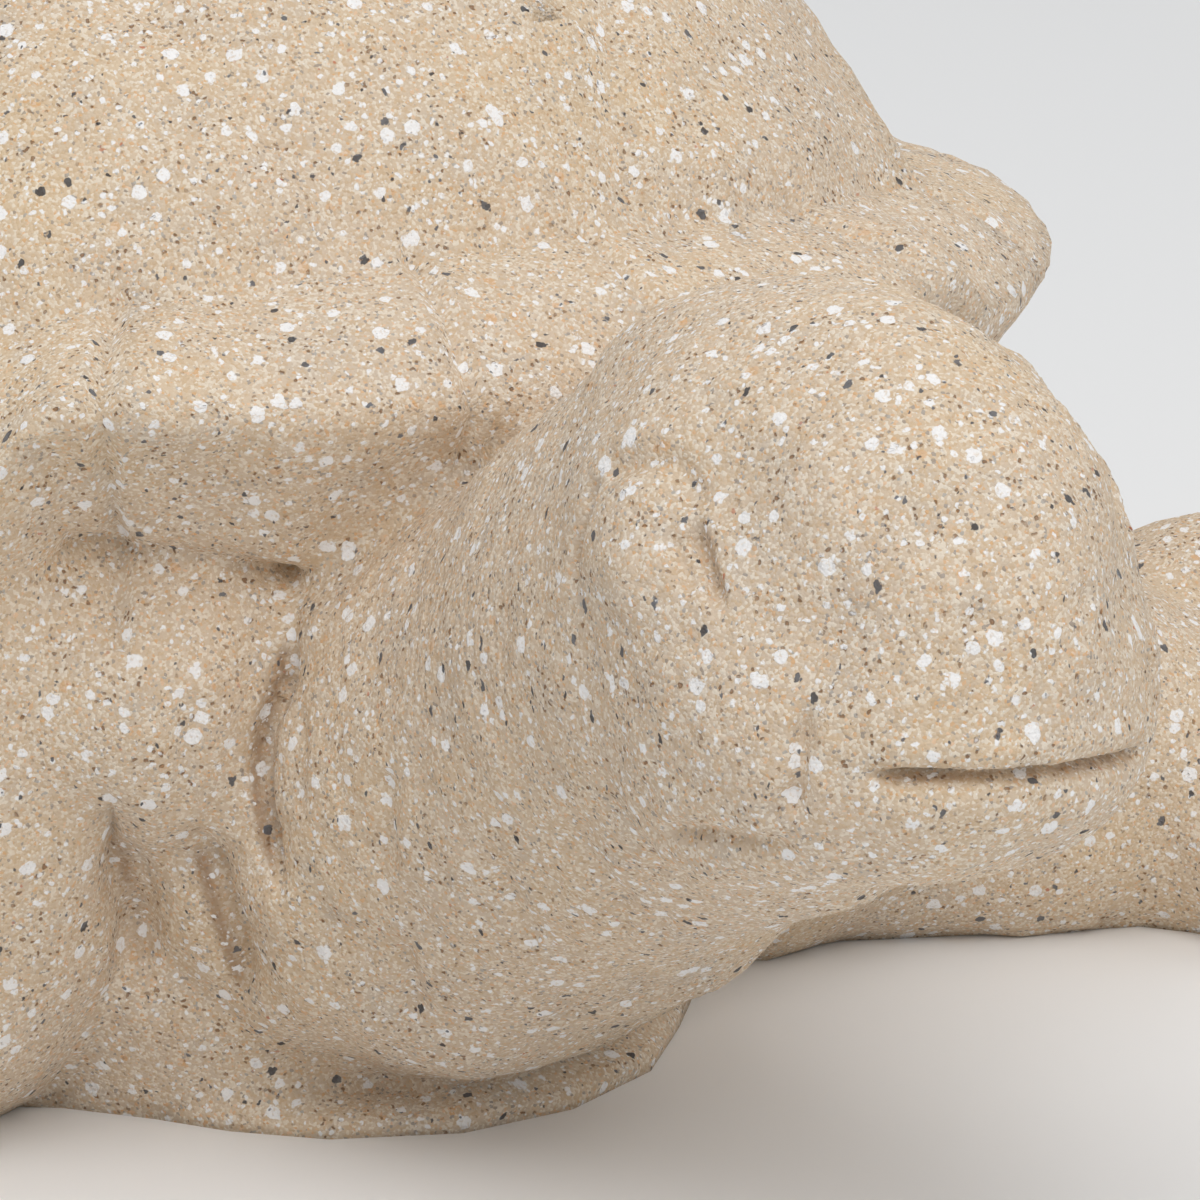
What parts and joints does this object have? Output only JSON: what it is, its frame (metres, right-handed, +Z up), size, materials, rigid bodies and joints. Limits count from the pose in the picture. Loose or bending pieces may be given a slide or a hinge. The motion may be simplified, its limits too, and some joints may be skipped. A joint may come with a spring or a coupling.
{
  "type": "sand turtle sculpture",
  "caption": "Garden turtle cast in one piece from bonded sand, with a domed shell, flared rim, raised head and spread legs, standing flat on its underside.",
  "frame": {"origin": "centre of the bounding box in plan, at the flat underside the turtle stands on", "axes": "the turtle faces -Y, its left side is +X, and +Z is up"},
  "size_m": [0.2868, 0.317, 0.16],
  "materials": {
    "sandstone": "Matt bonded sand, warm beige, with fine mixed grains and scattered white, black and rust chips."
  },
  "bodies": {
    "root": {"turtle": "sandstone"}
  },
  "joints": []
}
